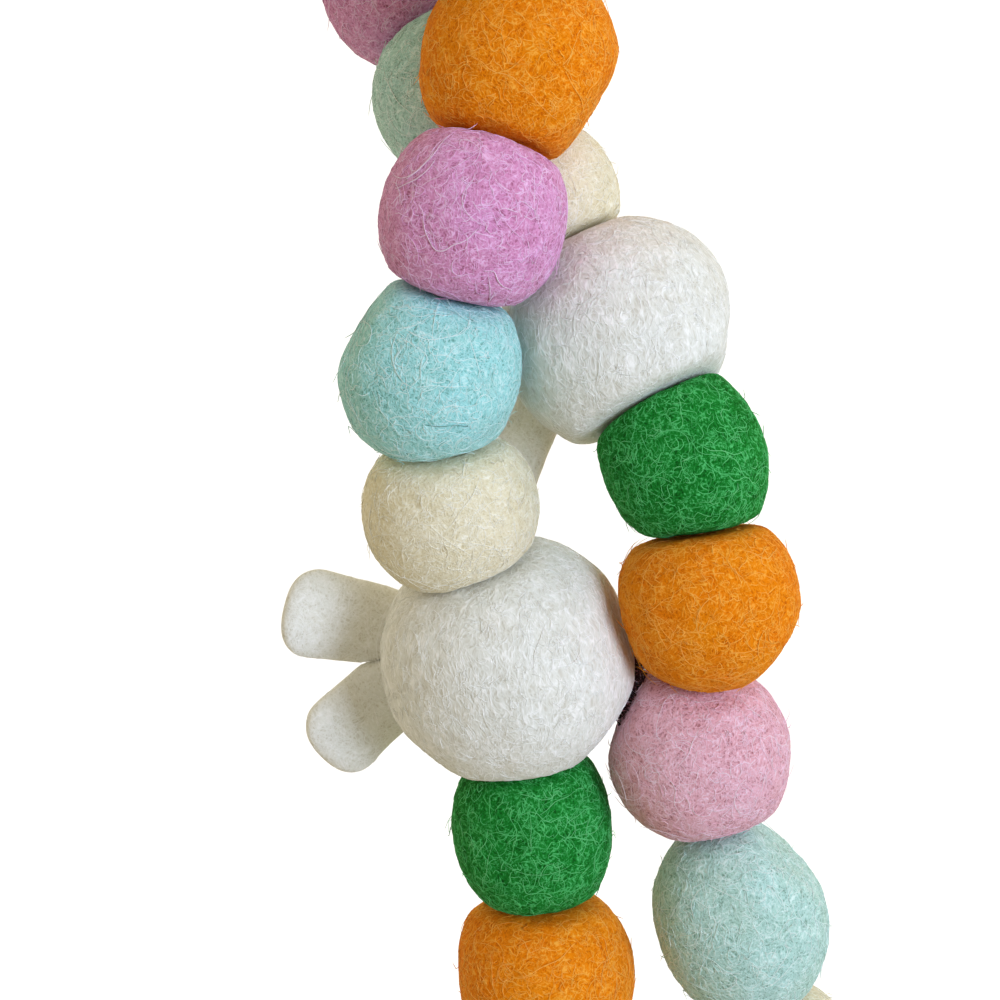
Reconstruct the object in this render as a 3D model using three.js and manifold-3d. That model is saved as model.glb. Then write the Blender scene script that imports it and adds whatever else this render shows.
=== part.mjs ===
// A felt garland that hangs doubled over from the bend of its string.
// Wool balls and rabbit heads sit tight against each other on one string, so each is a ball that its
// neighbours have flattened. Millimetres, Z up, with the origin on top of the string's bend.
import * as THREE from 'three';
import { mergeVertices } from 'three/addons/utils/BufferGeometryUtils.js';
import Module from 'manifold-3d';

const wasm = await Module();
wasm.setup();

// Driving dimensions
const GAP = 0.3; // kept between pieces that touch
const STRING_RADIUS = 0.6;
const STRING_SIDES = 8;
const STRING_STEPS = 80;
const TAIL = 12; // string that is left past each end knot
const KNOT_RADIUS = 1.9;
const REACH = 0.8; // felt this close to its neighbour still presses on it
const BARREL = 2.15; // 2 is an ellipsoid, and more is squarer along the string
const SPREAD = 1.06; // a ball would reach this much past the felt that presses on its ends
const EDGE = 2.2; // width over which the round of a ball turns into a pressed flat
const LUMP = 0.012; // hand felting leaves each ball this uneven
const TIGHT = 12; // higher makes a bulge narrower
const BALL_DETAIL = 4;
const HEAD_DETAIL = 5;
const KNOT_DETAIL = 1;

// Ears, which are flat lobes that widen towards a blunt end
const EAR = { rootHalfWidth: 5.2, tipHalfWidth: 6.9, halfThickness: 2.3, square: 2.4, blunt: 0.79 };
const EAR_RINGS = 12;
const EAR_SIDES = 16;
const CUTTER = 60; // side of the block that parts the two ears of a head

// colour, roughness
const FELT = {
  orange: [0xe08a1a, 0.95],
  green: [0x1f8a3c, 0.95],
  pink: [0xc98fc4, 0.95],
  aqua: [0x9fcfd0, 0.95],
  cream: [0xd9d2bb, 0.95],
  white: [0xe6e4de, 0.95],
  string: [0xe9e6da, 0.8],
};

// The pieces in the order of the string: from the low end of the front strand up to the bend, and down the
// back strand. at is the middle, radius is across the string and tall is the height along it over the width.
const BEFORE_BEND = [
  { name: 'ball_orange_low', felt: 'orange', at: [-12.2, -16.6, -182.4], radius: 12.9, tall: 1.05 },
  { name: 'ball_green_low', felt: 'green', at: [-10.8, -15.7, -159.8], radius: 11.6, tall: 1.2 },
  { name: 'head_front', felt: 'white', at: [-10.4, -15, -134.3], radius: 18.35, tall: 0.965 },
  { name: 'ball_cream_front', felt: 'cream', at: [-15, -18.3, -109.9], radius: 12.4, tall: 0.94 },
  { name: 'ball_aqua_front', felt: 'aqua', at: [-14.7, -20, -89.4], radius: 12.55, tall: 1.07 },
  { name: 'ball_pink_front', felt: 'pink', at: [-5.6, -20.5, -69.5], radius: 12.7, tall: 1.03 },
  { name: 'ball_orange_front', felt: 'orange', at: [3.8, -13.1, -50.8], radius: 13.4, tall: 1.05 },
  { name: 'ball_green_top', felt: 'green', at: [4.8, -11, -30.4], radius: 11.8, tall: 1 },
];
const AFTER_BEND = [
  { name: 'ball_orange_top', felt: 'orange', at: [-5, 16, -20], radius: 12.2, tall: 1 },
  { name: 'ball_pink_back', felt: 'pink', at: [-9.4, 22.2, -39.8], radius: 12.75, tall: 1.04 },
  { name: 'ball_aqua_back', felt: 'aqua', at: [-4, 8.1, -56.8], radius: 13, tall: 1.01 },
  { name: 'ball_cream_back', felt: 'cream', at: [4.5, -0.5, -71.2], radius: 11, tall: 1 },
  { name: 'head_back', felt: 'white', at: [12.1, -9.1, -90.9], radius: 16.55, tall: 0.97 },
  { name: 'ball_green_right', felt: 'green', at: [18.2, -17.4, -107.7], radius: 11.6, tall: 1.17 },
  { name: 'ball_orange_right', felt: 'orange', at: [18.7, -21.4, -128.1], radius: 12.9, tall: 0.97 },
  { name: 'ball_pink_right', felt: 'pink', at: [14.6, -17.7, -151.6], radius: 13, tall: 0.96 },
  { name: 'ball_aqua_right', felt: 'aqua', at: [17.3, -18.2, -177.6], radius: 12.6, tall: 1.21 },
  { name: 'ball_cream_right', felt: 'cream', at: [18.9, -16.9, -203], radius: 12.95, tall: 1.02 },
];

// Flat spots that the felting left, each as far out as this share of the radius
const FLATS = [
  { on: 'ball_orange_front', towards: [0.75, -0.2, -0.65], out: 0.89 },
  { on: 'ball_aqua_front', towards: [-0.72, 0, 0.68], out: 0.905 },
  { on: 'ball_green_right', towards: [0.79, 0.16, 0.58], out: 1.065 },
  { on: 'ball_orange_right', towards: [0.7, -0.1, -0.7], out: 0.94 },
  { on: 'ball_aqua_right', towards: [0.75, -0.1, 0.65], out: 0.915 },
  { on: 'head_back', towards: [0.97, -0.1, -0.25], out: 0.93 },
  { on: 'head_front', towards: [0.69, -0.19, -0.7], out: 0.96 },
  { on: 'head_front', towards: [-0.73, -0.18, -0.66], out: 0.985 },
];

// Spots that bulge between the flats, each by this much at its middle
const SWELLS = [
  { on: 'ball_pink_right', towards: [-0.58, 0.21, 0.77], by: 1.6 },
  { on: 'ball_pink_right', towards: [0.64, -0.2, -0.74], by: 0.9 },
  { on: 'ball_orange_low', towards: [-0.64, 0.2, 0.74], by: 0.8 },
  { on: 'ball_green_right', towards: [0.64, -0.2, -0.74], by: 0.5 },
  { on: 'head_back', towards: [0.84, 0.14, 0.52], by: 0.7 },
  { on: 'head_front', towards: [0.86, -0.13, -0.47], by: 0.7 },
];

// The bare string over what holds the garland, between the two top balls
const BEND = [
  [6, -10.6, -14],
  [5.2, -9.6, -7.5],
  [3.2, -6, -2.2],
  [0, 0, -STRING_RADIUS],
  [-2.2, 5.8, -1.8],
  [-3.2, 10.6, -5.2],
];

// Each ear runs from root by way of middle to tip, measured from the middle of its head. side says on
// which side of the plane between the two ears of a head it lies, along the string.
const EARS = [
  {
    name: 'ear_front_upper', head: 'head_front', side: 1,
    root: [-7.5, 11, 0.6], middle: [-19.5, 12.6, 5], tip: [-30.8, 6.8, 10.8],
  },
  {
    name: 'ear_front_lower', head: 'head_front', side: -1,
    root: [-7.5, 11, -0.3], middle: [-18.9, 11.4, -5], tip: [-29.3, 6.4, -12.4],
  },
  {
    name: 'ear_back_upper', head: 'head_back', side: 1,
    root: [-7.3, 7, -1.8], middle: [-18, 10.5, -1.8], tip: [-29.8, 13, -0.1],
  },
  {
    name: 'ear_back_lower', head: 'head_back', side: -1,
    root: [-9, 7, -4.3], middle: [-17.2, 8.5, -13.6], tip: [-22.8, 9.2, -24.8],
  },
];

const BALLS = [...BEFORE_BEND, ...AFTER_BEND];

function point(list) {
  return new THREE.Vector3(...list);
}

// The pieces before and after one on its own strand, in the order of the string
function nextOnStrand(ball) {
  const strand = BEFORE_BEND.includes(ball) ? BEFORE_BEND : AFTER_BEND;
  const place = strand.indexOf(ball);
  return { before: strand[place - 1], after: strand[place + 1] };
}

// The direction of the string through a piece, upwards before the bend and downwards after it
function stringDirection(ball) {
  const { before, after } = nextOnStrand(ball);
  return point((after ?? ball).at).sub(point((before ?? ball).at)).normalize();
}

// The flats that the neighbours press: each is a plane that faces along normal at distance from the middle
function contactsOf(ball) {
  const { before, after } = nextOnStrand(ball);
  const contacts = [];
  for (const other of BALLS) {
    if (other === ball) continue;
    const normal = point(other.at).sub(point(ball.at));
    const apart = normal.length();
    const strung = other === before || other === after;
    if (!strung && apart > ball.radius + other.radius + REACH) continue;
    const [reach, otherReach] = [ball, other].map((one) => one.radius * (strung ? one.tall : 1));
    const share = (apart * apart + reach ** 2 - otherReach ** 2) / (2 * apart);
    contacts.push({ normal: normal.normalize(), distance: share - GAP / 2, strung });
  }
  for (const flat of FLATS.filter((one) => one.on === ball.name)) {
    const normal = point(flat.towards).normalize();
    contacts.push({ normal, distance: flat.out * ball.radius, strung: false });
  }
  return contacts;
}

function swellsOf(ball) {
  const own = SWELLS.filter((one) => one.on === ball.name);
  return own.map(({ towards, by }) => ({ towards: point(towards).normalize(), by }));
}

// Half the height of a piece along the string, before its neighbours flatten it
function fullHalfHeight(ball) {
  const ends = ball.contacts.filter((contact) => contact.strung).map((contact) => contact.distance * SPREAD);
  return Math.max(ball.radius * ball.tall, ...ends);
}

function lumps(direction, index) {
  const { x, y, z } = direction;
  const first = Math.sin(2.6 * x + 1.9 * y + index);
  const second = Math.sin(3.1 * y - 2.2 * z + 2.3 * index);
  const third = Math.sin(2.8 * z + 2.4 * x + 4.1 * index);
  return 1 + (LUMP * (first + second + third)) / 3;
}

// The lesser of two reaches, with the edge between them rounded
function softLesser(one, other) {
  const near = Math.max(0, EDGE - Math.abs(one - other)) / EDGE;
  return Math.min(one, other) - (near * near * EDGE) / 4;
}

// How far the felt reaches from the middle of a piece in one direction
function reachOfFelt(ball, direction) {
  const along = Math.abs(direction.dot(ball.axis));
  const across = Math.sqrt(Math.max(0, 1 - along * along));
  const round = ((across / ball.radius) ** BARREL + (along / ball.halfHeight) ** BARREL) ** (-1 / BARREL);
  let reach = round * lumps(direction, ball.index);
  for (const { towards, by } of ball.swells) {
    reach += by * Math.max(0, direction.dot(towards)) ** TIGHT;
  }
  for (const { normal, distance } of ball.contacts) {
    const facing = direction.dot(normal);
    if (facing > 0) reach = softLesser(reach, distance / facing);
  }
  return reach;
}

function positionsOnly(geometry) {
  const bare = geometry.clone();
  bare.deleteAttribute('normal');
  bare.deleteAttribute('uv');
  return mergeVertices(bare, 1e-4);
}

function toSolid(geometry) {
  const merged = positionsOnly(geometry);
  return new wasm.Manifold(new wasm.Mesh({
    numProp: 3,
    vertProperties: new Float32Array(merged.attributes.position.array),
    triVerts: new Uint32Array(merged.index.array),
  }));
}

function toGeometry(solid) {
  const mesh = solid.getMesh();
  const geometry = new THREE.BufferGeometry();
  geometry.setAttribute('position', new THREE.BufferAttribute(mesh.vertProperties, 3));
  geometry.setIndex(new THREE.BufferAttribute(mesh.triVerts, 1));
  geometry.computeVertexNormals();
  return geometry;
}

// A ball or head, grown by extra where it serves as a cutter
function feltGeometry(ball, extra = 0) {
  const detail = ball.felt === 'white' ? HEAD_DETAIL : BALL_DETAIL;
  const geometry = positionsOnly(new THREE.IcosahedronGeometry(1, detail));
  const positions = geometry.attributes.position;
  const direction = new THREE.Vector3();
  for (let i = 0; i < positions.count; i += 1) {
    direction.fromBufferAttribute(positions, i).normalize();
    const reach = reachOfFelt(ball, direction) + extra;
    direction.multiplyScalar(reach).add(point(ball.at));
    positions.setXYZ(i, direction.x, direction.y, direction.z);
  }
  return geometry;
}

function endPoint(ball, beyond) {
  const outward = ball.axis.clone().multiplyScalar(ball === BALLS[0] ? -1 : 1);
  return point(ball.at).addScaledVector(outward, reachOfFelt(ball, outward) + beyond);
}

function stringPath() {
  const first = BALLS[0];
  const last = BALLS[BALLS.length - 1];
  const points = [
    endPoint(first, TAIL),
    ...BEFORE_BEND.map((ball) => point(ball.at)),
    ...BEND.map(point),
    ...AFTER_BEND.map((ball) => point(ball.at)),
    endPoint(last, TAIL),
  ];
  return new THREE.CatmullRomCurve3(points, false, 'centripetal');
}

function tubeAlong(path, radius) {
  const section = new THREE.Shape();
  for (let i = 0; i < STRING_SIDES; i += 1) {
    const angle = (2 * Math.PI * i) / STRING_SIDES;
    const [x, y] = [radius * Math.cos(angle), radius * Math.sin(angle)];
    if (i === 0) section.moveTo(x, y);
    else section.lineTo(x, y);
  }
  section.closePath();
  return new THREE.ExtrudeGeometry(section, { steps: STRING_STEPS, extrudePath: path, bevelEnabled: false });
}

function knotAt(ball) {
  const knot = new THREE.IcosahedronGeometry(KNOT_RADIUS, KNOT_DETAIL);
  return knot.translate(...endPoint(ball, GAP + KNOT_RADIUS).toArray());
}

// A closed skin over rings of equal size, with a point that closes each end
function skinOver(rings, start, end) {
  const sides = rings[0].length;
  const corners = [start, ...rings.flat(), end];
  const faces = [];
  for (let i = 0; i < sides; i += 1) {
    const next = (i + 1) % sides;
    faces.push(0, 1 + next, 1 + i);
    for (let ring = 0; ring + 1 < rings.length; ring += 1) {
      const here = 1 + ring * sides;
      const beyond = here + sides;
      faces.push(here + i, here + next, beyond + next, here + i, beyond + next, beyond + i);
    }
    const lastRing = 1 + (rings.length - 1) * sides;
    faces.push(corners.length - 1, lastRing + i, lastRing + next);
  }
  const geometry = new THREE.BufferGeometry();
  geometry.setAttribute('position', new THREE.Float32BufferAttribute(corners.flatMap((c) => c.toArray()), 3));
  geometry.setIndex(faces);
  return geometry;
}

function superPower(value, power) {
  return Math.sign(value) * Math.abs(value) ** power;
}

// The lobe of an ear before its root is fitted to the head
function earLobe(ear, head) {
  const centre = point(head.at);
  const [root, middle, tip] = [ear.root, ear.middle, ear.tip].map((list) => point(list).add(centre));
  const line = new THREE.QuadraticBezierCurve3(root, middle, tip);
  const rings = [];
  for (let ring = 0; ring < EAR_RINGS; ring += 1) {
    const t = 1 - (1 - ring / EAR_RINGS) ** 1.6;
    const tangent = line.getTangent(t);
    const broad = head.axis.clone().addScaledVector(tangent, -head.axis.dot(tangent)).normalize();
    const flat = tangent.clone().cross(broad);
    const past = Math.max(0, (t - EAR.blunt) / (1 - EAR.blunt));
    const close = (1 - past ** EAR.square) ** (1 / EAR.square);
    const halfWidth = THREE.MathUtils.lerp(EAR.rootHalfWidth, EAR.tipHalfWidth, t) * close;
    const halfThickness = EAR.halfThickness * close;
    const around = [];
    for (let side = 0; side < EAR_SIDES; side += 1) {
      const angle = (2 * Math.PI * side) / EAR_SIDES;
      const x = halfWidth * superPower(Math.cos(angle), 2 / EAR.square);
      const y = halfThickness * superPower(Math.sin(angle), 2 / EAR.square);
      around.push(line.getPoint(t).addScaledVector(broad, x).addScaledVector(flat, y));
    }
    rings.push(around);
  }
  return skinOver(rings, root, tip);
}

// Everything on one side of the plane between the two ears of a head, less half a gap
function halfSpace(head, side) {
  const towards = head.axis.clone().multiplyScalar(side * Math.sign(head.axis.z));
  const block = new THREE.BoxGeometry(CUTTER, CUTTER, CUTTER);
  block.applyQuaternion(new THREE.Quaternion().setFromUnitVectors(new THREE.Vector3(0, 0, 1), towards));
  const pair = EARS.filter((ear) => ear.head === head.name);
  const between = new THREE.Vector3();
  for (const ear of pair) between.addScaledVector(point(ear.middle), 1 / pair.length);
  between.add(point(head.at)).addScaledVector(towards, (CUTTER + GAP) / 2);
  return block.translate(...between.toArray());
}

function meshOf(name, felt, geometry) {
  const [color, roughness] = FELT[felt];
  const mesh = new THREE.Mesh(geometry, new THREE.MeshStandardMaterial({ color, roughness, metalness: 0 }));
  mesh.name = name;
  return mesh;
}

BALLS.forEach((ball, index) => {
  ball.index = index;
  ball.axis = stringDirection(ball);
  ball.contacts = contactsOf(ball);
  ball.swells = swellsOf(ball);
  ball.halfHeight = fullHalfHeight(ball);
});

const garland = new THREE.Group();
const path = stringPath();
const bore = toSolid(tubeAlong(path, STRING_RADIUS + GAP));

for (const ball of BALLS) {
  garland.add(meshOf(ball.name, ball.felt, toGeometry(toSolid(feltGeometry(ball)).subtract(bore))));
}

for (const ear of EARS) {
  const head = BALLS.find((ball) => ball.name === ear.head);
  const whole = toSolid(earLobe(ear, head)).intersect(toSolid(halfSpace(head, ear.side)));
  garland.add(meshOf(ear.name, head.felt, toGeometry(whole.subtract(toSolid(feltGeometry(head, GAP))))));
}

const knots = [BALLS[0], BALLS[BALLS.length - 1]].map((ball) => toSolid(knotAt(ball)));
const string = knots.reduce((solid, knot) => solid.add(knot), toSolid(tubeAlong(path, STRING_RADIUS)));
garland.add(meshOf('string', 'string', toGeometry(string)));

export default garland;
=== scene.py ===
"""Looks of a felt garland that hangs doubled over from the bend of its string.

Wool balls and rabbit heads, each a felted body under a web of its own loose fibres, sit tight
against each other on a twisted string. The tables repeat the part's source in millimetres, and
meshes are made in metres, Z up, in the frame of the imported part.
"""

import logging
import math
from collections.abc import Callable
from dataclasses import dataclass, field
from enum import Enum

import bpy
import numpy as np
from mathutils import Matrix, Vector
from mathutils.bvhtree import BVHTree


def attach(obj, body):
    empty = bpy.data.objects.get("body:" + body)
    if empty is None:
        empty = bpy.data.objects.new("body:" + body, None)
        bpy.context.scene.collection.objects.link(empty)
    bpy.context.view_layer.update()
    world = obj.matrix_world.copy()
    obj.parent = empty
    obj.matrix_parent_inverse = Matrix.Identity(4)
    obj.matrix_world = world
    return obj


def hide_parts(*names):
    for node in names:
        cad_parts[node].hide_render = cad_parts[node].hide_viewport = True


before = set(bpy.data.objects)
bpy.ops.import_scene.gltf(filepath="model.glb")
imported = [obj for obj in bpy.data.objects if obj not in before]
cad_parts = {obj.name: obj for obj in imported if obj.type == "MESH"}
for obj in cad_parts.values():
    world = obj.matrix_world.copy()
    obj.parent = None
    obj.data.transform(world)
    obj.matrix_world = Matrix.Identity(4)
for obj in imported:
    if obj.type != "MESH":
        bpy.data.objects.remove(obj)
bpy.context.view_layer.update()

log = logging.getLogger("garland")

MM = 0.001
SENSOR = 36.0  # the width of the camera's sensor, in millimetres
BODY = "root"
ATLAS = "OFBake"  # the name of the map that the pieces' faces are laid out on
TONE = "tone"  # how pale each fibre is, from 0 to 1

# Each sort of face has its own area of the map, as a low corner and a size
Area = tuple[tuple[float, float], tuple[float, float]]
SKIN_AREA = ((0.0, 0.0), (0.6, 1.0))
WEB_AREA = ((0.62, 0.0), (0.37, 0.69))
LONG_AREA = ((0.62, 0.7), (0.37, 0.24))
TRACED_AREA = ((0.62, 0.955), (0.37, 0.03))
SHADOW_TANGLE_AREA = ((0.62, 0.986), (0.37, 0.013))
FUZZ_AREA = ((0.62, 0.0), (0.37, 0.99))

# The material slots of a felted piece
SKIN_SLOT = 0
FIBRE_SLOT = 1

# The part's own values, in millimetres
GAP = 0.3
REACH = 0.8
BARREL = 2.15
SPREAD = 1.06
EDGE = 2.2
LUMP = 0.012
TIGHT = 12
STRING_RADIUS = 0.6
TAIL = 12.0
KNOT_RADIUS = 1.9

# Dents and swells of matted wool too small for the solids: how far apart, and how deep
BALL_PUCKERS = ((9.0, 0.08), (4.0, 0.05), (2.2, 0.03))
EAR_PUCKERS = ((7.0, 0.07), (3.0, 0.03))
WAVES = 14  # that add up to one sort of them


class Wool(Enum):
    """The dyed wools of the garland, each named as its material slot."""

    ORANGE = "orange_felt"
    GREEN = "green_felt"
    PINK = "pink_felt"
    AQUA = "aqua_felt"
    CREAM = "cream_felt"
    WHITE = "white_felt"


def linear(red: int, green: int, blue: int) -> tuple[float, float, float, float]:
    """A screen colour of 0 to 255 as the shader's linear colour.

    Args:
        red: Red as a screen shows it.
        green: Green as a screen shows it.
        blue: Blue as a screen shows it.

    Returns:
        Linear red, green, blue and an alpha of 1.
    """
    parts = [c / 255 for c in (red, green, blue)]
    bent = [c / 12.92 if c <= 0.04045 else ((c + 0.055) / 1.055) ** 2.4 for c in parts]
    return (*bent, 1.0)


def unit(rows: np.ndarray) -> np.ndarray:
    """Rows of vectors scaled to length 1."""
    return rows / np.maximum(np.linalg.norm(rows, axis=-1, keepdims=True), 1e-12)


class Value:
    """A number in a node tree that takes part in sums."""

    def __init__(self, sheet: "NodeSheet", socket: bpy.types.NodeSocket) -> None:
        """Keeps the socket and the sheet that its sums are added to."""
        self.sheet = sheet
        self.socket = socket

    def sum_of(self, operation: str, *terms: "Value | float") -> "Value":
        """Adds a Math node.

        Args:
            operation: Blender's name of the operation.
            *terms: What it works on, in order.

        Returns:
            The node's result.
        """
        sockets = dict(enumerate(terms))
        return self.sheet.value("ShaderNodeMath", {"operation": operation}, sockets)

    def __add__(self, other: "Value | float") -> "Value":
        """self + other."""
        return self.sum_of("ADD", self, other)

    def __radd__(self, other: float) -> "Value":
        """other + self."""
        return self.sum_of("ADD", other, self)

    def __sub__(self, other: "Value | float") -> "Value":
        """self - other."""
        return self.sum_of("SUBTRACT", self, other)

    def __rsub__(self, other: float) -> "Value":
        """other - self."""
        return self.sum_of("SUBTRACT", other, self)

    def __mul__(self, other: "Value | float") -> "Value":
        """self * other."""
        return self.sum_of("MULTIPLY", self, other)

    def __rmul__(self, other: float) -> "Value":
        """other * self."""
        return self.sum_of("MULTIPLY", other, self)

    def __truediv__(self, other: "Value | float") -> "Value":
        """self / other."""
        return self.sum_of("DIVIDE", self, other)

    def __rtruediv__(self, other: float) -> "Value":
        """other / self."""
        return self.sum_of("DIVIDE", other, self)

    def __abs__(self) -> "Value":
        """self without its sign."""
        return self.sum_of("ABSOLUTE", self)

    def most(self, other: "Value | float") -> "Value":
        """The greater of the two."""
        return self.sum_of("MAXIMUM", self, other)

    def least(self, other: "Value | float") -> "Value":
        """The lesser of the two."""
        return self.sum_of("MINIMUM", self, other)

    def held(self) -> "Value":
        """self kept between 0 and 1."""
        return self.most(0.0).least(1.0)


class NodeSheet:
    """The node tree of one material."""

    def __init__(self, name: str) -> None:
        """Makes the material with an empty tree."""
        self.material = bpy.data.materials.new(name)
        self.material.use_nodes = True
        self.tree = self.material.node_tree
        self.tree.nodes.clear()

    def add(self, kind: str, settings: dict | None = None,
            sockets: dict | None = None) -> bpy.types.Node:
        """Adds one node.

        Args:
            kind: The node's Blender type.
            settings: Properties by name, set first. stops are a ramp's places and colours.
            sockets: Values or links by the input's name or number.

        Returns:
            The node.
        """
        node = self.tree.nodes.new(kind)
        for name, setting in (settings or {}).items():
            if name != "stops":
                setattr(node, name, setting)
                continue
            ramp = node.color_ramp.elements
            while len(ramp) < len(setting):
                ramp.new(0.5)
            for stop, (place, colour) in zip(ramp, setting):
                stop.position, stop.color = place, colour
        for name, given in (sockets or {}).items():
            given = given.socket if isinstance(given, Value) else given
            if isinstance(given, bpy.types.NodeSocket):
                self.tree.links.new(given, node.inputs[name])
            else:
                node.inputs[name].default_value = given
        return node

    def value(self, kind: str, settings: dict | None = None, sockets: dict | None = None,
              output: str | int = 0) -> Value:
        """Adds one node and gives one of its outputs as a number for sums.

        Args:
            kind: The node's Blender type.
            settings: Properties by name.
            sockets: Values or links by the input's name or number.
            output: The output's name or number.

        Returns:
            The output, ready for sums.
        """
        return Value(self, self.add(kind, settings, sockets).outputs[output])

    def place(self, shift: float) -> bpy.types.NodeSocket:
        """Where a point lies on the piece, shifted so that patterns differ.

        Args:
            shift: About how far the pattern is moved, in metres.

        Returns:
            The vector output.
        """
        here = self.add("ShaderNodeTexCoord").outputs["Object"]
        moved = {"Vector": here, "Location": (shift, -0.7 * shift, 1.3 * shift)}
        return self.add("ShaderNodeMapping", {}, moved).outputs["Vector"]

    def noise(self, where: bpy.types.NodeSocket, size: float, detail: float = 1.0) -> Value:
        """Soft random blotches.

        Args:
            where: The place to read them at.
            size: About how far apart they are, in millimetres.
            detail: How many finer layers they have.

        Returns:
            A number about 0.5.
        """
        sockets = {"Vector": where, "Scale": 1 / (size * MM), "Detail": detail, "Roughness": 0.5}
        return self.value("ShaderNodeTexNoise", {}, sockets)

    def swirled(self, where: bpy.types.NodeSocket, size: float,
                amount: float) -> bpy.types.NodeSocket:
        """A place pushed about by soft blotches, so that lines read there curl.

        Args:
            where: The place.
            size: About how far apart the curls are, in millimetres.
            amount: How far they push, in millimetres.

        Returns:
            The pushed place.
        """
        sockets = {"Vector": where, "Scale": 1 / (size * MM), "Detail": 1.0}
        push = self.add("ShaderNodeTexNoise", {}, sockets).outputs["Color"]
        moved = {0: push, 1: (amount * MM,) * 3, 2: where}
        return self.add("ShaderNodeVectorMath", {"operation": "MULTIPLY_ADD"}, moved).outputs[0]

    def streaks(self, where: bpy.types.NodeSocket, way: Vector, size: float, long: float,
                width: float) -> Value:
        """Fine lines that run one way.

        Args:
            where: The place to read them at.
            way: The way that they run.
            size: About how far apart they are, in millimetres.
            long: How many times longer than that they are.
            width: How wide they are, in the height of the blotches that they edge.

        Returns:
            1 on a line and 0 away from it.
        """
        turn = (0.0, -math.asin(way.z), math.atan2(way.y, way.x))
        turned = {"Vector": where, "Rotation": turn, "Scale": (long, 1.0, 1.0)}
        along = self.add("ShaderNodeMapping", {"vector_type": "TEXTURE"}, turned).outputs["Vector"]
        return (1 - abs(self.noise(along, size, 0.0) - 0.5) / width).held()

    def blend(self, share: Value | float, first: "bpy.types.NodeSocket | tuple",
              second: "bpy.types.NodeSocket | tuple") -> bpy.types.NodeSocket:
        """One colour turning into another.

        Args:
            share: 0 for the first and 1 for the second.
            first: A colour or a link.
            second: A colour or a link.

        Returns:
            The colour output.
        """
        sockets = {0: share, 6: first, 7: second}
        return self.add("ShaderNodeMix", {"data_type": "RGBA"}, sockets).outputs[2]

    def finish(self, colour: bpy.types.NodeSocket, height: Value | None, depth: float,
               constants: dict) -> bpy.types.Material:
        """Adds the shader and the output.

        Args:
            colour: The colour output.
            height: What raises the surface, or None.
            depth: How far it raises it, in millimetres.
            constants: Shader sockets that are the same all over.

        Returns:
            The material.
        """
        sockets = {"Base Color": colour, **constants}
        if height is not None:
            bump = {"Height": height, "Distance": depth * MM, "Strength": 1.0}
            sockets["Normal"] = self.add("ShaderNodeBump", {}, bump).outputs["Normal"]
        shader = self.add("ShaderNodeBsdfPrincipled", {}, sockets)
        self.add("ShaderNodeOutputMaterial", {}, {"Surface": shader.outputs["BSDF"]})
        return self.material


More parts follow.
